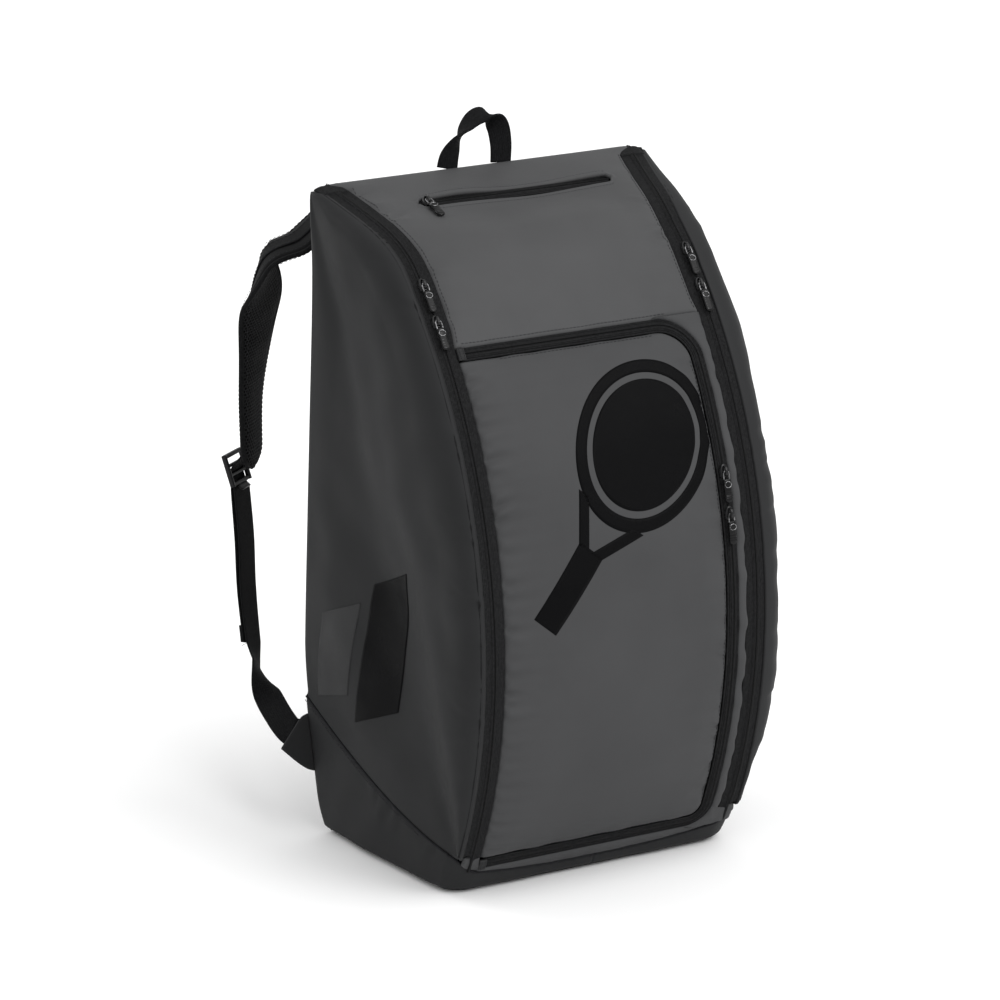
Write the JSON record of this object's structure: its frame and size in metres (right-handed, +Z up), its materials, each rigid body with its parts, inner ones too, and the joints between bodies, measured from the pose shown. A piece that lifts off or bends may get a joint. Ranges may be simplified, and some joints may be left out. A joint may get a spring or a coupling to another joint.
{
  "type": "racket backpack",
  "caption": "Tall racket backpack with a bowed front door, side compartments opened by curved zips, a top pocket, a grab handle and two padded shoulder straps",
  "frame": {"origin": "middle of the flat underside of the base, on the floor", "axes": "+Z up, the front faces -Y, +X is the right side seen from the front"},
  "size_m": [0.4, 0.4028, 0.6346],
  "materials": {
    "top_cloth": "matte coated polyester, lightest where the top faces up",
    "front_cloth": "matte coated polyester over thin foam",
    "side_cloth": "matte coated polyester over thin foam",
    "boot_cloth": "heavier matte coated cloth",
    "back_cloth": "plain woven polyester",
    "mesh_cloth": "open honeycomb spacer mesh over foam",
    "strap_cloth": "padded strap, coated face and mesh lining, bound edge",
    "lining_cloth": "thin plain lining",
    "zip_tape": "fine woven zip tape",
    "zip_coil": "black nylon coil",
    "tab_cloth": "grey stitched end tabs",
    "slider_metal": "black lacquered slider",
    "puller_gloss": "glossy black moulded puller",
    "webbing": "ribbed polyester webbing",
    "buckle_plastic": "moulded black acetal",
    "board": "thin plain polyethylene sheet"
  },
  "bodies": {
    "shell": {"back_panel": "back_cloth", "back_stiffener": "board", "back_pads": "mesh_cloth", "lumbar_pad": "mesh_cloth", "base_boot": "boot_cloth", "base_board": "board", "top_panel": "top_cloth", "front_gusset": "front_cloth", "divider_left": "lining_cloth", "divider_right": "lining_cloth", "side_rear_left": "side_cloth", "side_rear_right": "side_cloth", "top_pocket_pouch": "lining_cloth", "side_tape_inner_left": "zip_tape", "side_tape_inner_right": "zip_tape", "side_coil_inner_left": "zip_coil", "side_coil_inner_right": "zip_coil", "door_tape_body": "zip_tape", "door_coil_body": "zip_coil", "door_zip_tabs": "tab_cloth", "top_zip_tape": "zip_tape", "top_zip_coil": "zip_coil", "handle_tabs": "webbing", "strap_yoke": "back_cloth", "strap_root_left": "strap_cloth", "strap_root_right": "strap_cloth", "anchor_wing_left": "boot_cloth", "anchor_wing_right": "boot_cloth"},
    "flap_left": {"side_flap_left": "side_cloth", "side_tape_outer_left": "zip_tape", "side_coil_outer_left": "zip_coil"},
    "strap_left": {"strap_pad_left": "strap_cloth", "ladder_lock_left": "buckle_plastic", "webbing_left": "webbing"},
    "flap_right": {"side_flap_right": "side_cloth", "side_tape_outer_right": "zip_tape", "side_coil_outer_right": "zip_coil"},
    "strap_right": {"strap_pad_right": "strap_cloth", "ladder_lock_right": "buckle_plastic", "webbing_right": "webbing"},
    "door": {"front_door": "front_cloth", "door_pocket": "lining_cloth", "door_tape_door": "zip_tape", "door_coil_door": "zip_coil"},
    "slider_left_upper": {"slider_left_upper": "slider_metal"},
    "puller_left_upper": {"puller_left_upper": "puller_gloss"},
    "slider_left_lower": {"slider_left_lower": "slider_metal"},
    "puller_left_lower": {"puller_left_lower": "puller_gloss"},
    "slider_right_upper": {"slider_right_upper": "slider_metal"},
    "puller_right_upper": {"puller_right_upper": "puller_gloss"},
    "slider_right_lower": {"slider_right_lower": "slider_metal"},
    "puller_right_lower": {"puller_right_lower": "puller_gloss"},
    "slider_door_upper": {"slider_door_upper": "slider_metal"},
    "puller_door_upper": {"puller_door_upper": "puller_gloss"},
    "slider_door_lower": {"slider_door_lower": "slider_metal"},
    "puller_door_lower": {"puller_door_lower": "puller_gloss"},
    "slider_top": {"slider_top": "slider_metal"},
    "puller_top": {"puller_top": "puller_gloss"},
    "handle": {"grab_handle": "webbing"}
  },
  "joints": [
    {"name": "side_flap_left_fold", "type": "hinge", "parent": "shell", "child": "flap_left", "pos_m": [-0.14, -0.115, 0.038], "axis": [0.0444, -0.3586, -0.9324], "range_deg": [0, 70]},
    {"name": "side_flap_right_fold", "type": "hinge", "parent": "shell", "child": "flap_right", "pos_m": [0.14, -0.115, 0.038], "axis": [0.0444, 0.3586, 0.9324], "range_deg": [0, 70]},
    {"name": "front_door_fold", "type": "hinge", "parent": "shell", "child": "door", "pos_m": [-0.1189, -0.16, 0.23], "axis": [0, 0, -1], "range_deg": [0, 85]},
    {"name": "slider_left_upper_travel", "type": "hinge", "parent": "flap_left", "child": "slider_left_upper", "pos_m": [-0.1295, 0.07655, 0.41879], "axis": [-1, 0, 0], "range_deg": [0, 16]},
    {"name": "slider_left_lower_travel", "type": "hinge", "parent": "flap_left", "child": "slider_left_lower", "pos_m": [-0.1295, 0.2725, 0.222], "axis": [1, 0, 0], "range_deg": [0, 62]},
    {"name": "slider_right_upper_travel", "type": "hinge", "parent": "flap_right", "child": "slider_right_upper", "pos_m": [0.1295, 0.07655, 0.41879], "axis": [-1, 0, 0], "range_deg": [0, 16]},
    {"name": "slider_right_lower_travel", "type": "hinge", "parent": "flap_right", "child": "slider_right_lower", "pos_m": [0.1295, 0.2725, 0.222], "axis": [1, 0, 0], "range_deg": [0, 62]},
    {"name": "slider_door_upper_travel", "type": "hinge", "parent": "door", "child": "slider_door_upper", "pos_m": [0.1065, 0.2725, 0.222], "axis": [-1, 0, 0], "range_deg": [0, 12]},
    {"name": "slider_door_lower_travel", "type": "hinge", "parent": "door", "child": "slider_door_lower", "pos_m": [0.1065, 0.2725, 0.222], "axis": [1, 0, 0], "range_deg": [0, 35.5]},
    {"name": "slider_top_travel", "type": "slide", "parent": "shell", "child": "slider_top", "axis": [1, 0, 0], "range_m": [0, 0.172]},
    {"name": "puller_left_upper_swing", "type": "hinge", "parent": "slider_left_upper", "child": "puller_left_upper", "pos_m": [-0.1295, -0.03962, 0.52669], "axis": [-1, 0, 0], "range_deg": [0, 150]},
    {"name": "puller_left_lower_swing", "type": "hinge", "parent": "slider_left_lower", "child": "puller_left_lower", "pos_m": [-0.1295, -0.06245, 0.49979], "axis": [-1, 0, 0], "range_deg": [0, 150]},
    {"name": "puller_right_upper_swing", "type": "hinge", "parent": "slider_right_upper", "child": "puller_right_upper", "pos_m": [0.1295, -0.03962, 0.52669], "axis": [-1, 0, 0], "range_deg": [0, 150]},
    {"name": "puller_right_lower_swing", "type": "hinge", "parent": "slider_right_lower", "child": "puller_right_lower", "pos_m": [0.1295, -0.06245, 0.49979], "axis": [-1, 0, 0], "range_deg": [0, 150]},
    {"name": "puller_door_upper_swing", "type": "hinge", "parent": "slider_door_upper", "child": "puller_door_upper", "pos_m": [0.1065, -0.14197, 0.35457], "axis": [-1, 0, 0], "range_deg": [0, 150]},
    {"name": "puller_door_lower_swing", "type": "hinge", "parent": "slider_door_lower", "child": "puller_door_lower", "pos_m": [0.1065, -0.1516, 0.31945], "axis": [-1, 0, 0], "range_deg": [0, 150]},
    {"name": "puller_top_swing", "type": "hinge", "parent": "slider_top", "child": "puller_top", "pos_m": [-0.078, 0.04663, 0.57578], "axis": [-1, 0, 0], "range_deg": [0, 150]},
    {"name": "grab_handle_flop", "type": "hinge", "parent": "shell", "child": "handle", "pos_m": [0, 0.0969, 0.58808], "axis": [1, 0, 0], "range_deg": [-85, 85]},
    {"name": "strap_left_swing", "type": "hinge", "parent": "shell", "child": "strap_left", "pos_m": [-0.062, 0.1, 0.54], "axis": [0.2704, 0, 0.9627], "range_deg": [-24, 6]},
    {"name": "strap_right_swing", "type": "hinge", "parent": "shell", "child": "strap_right", "pos_m": [0.062, 0.1, 0.54], "axis": [0.2704, 0, -0.9627], "range_deg": [-24, 6]}
  ]
}
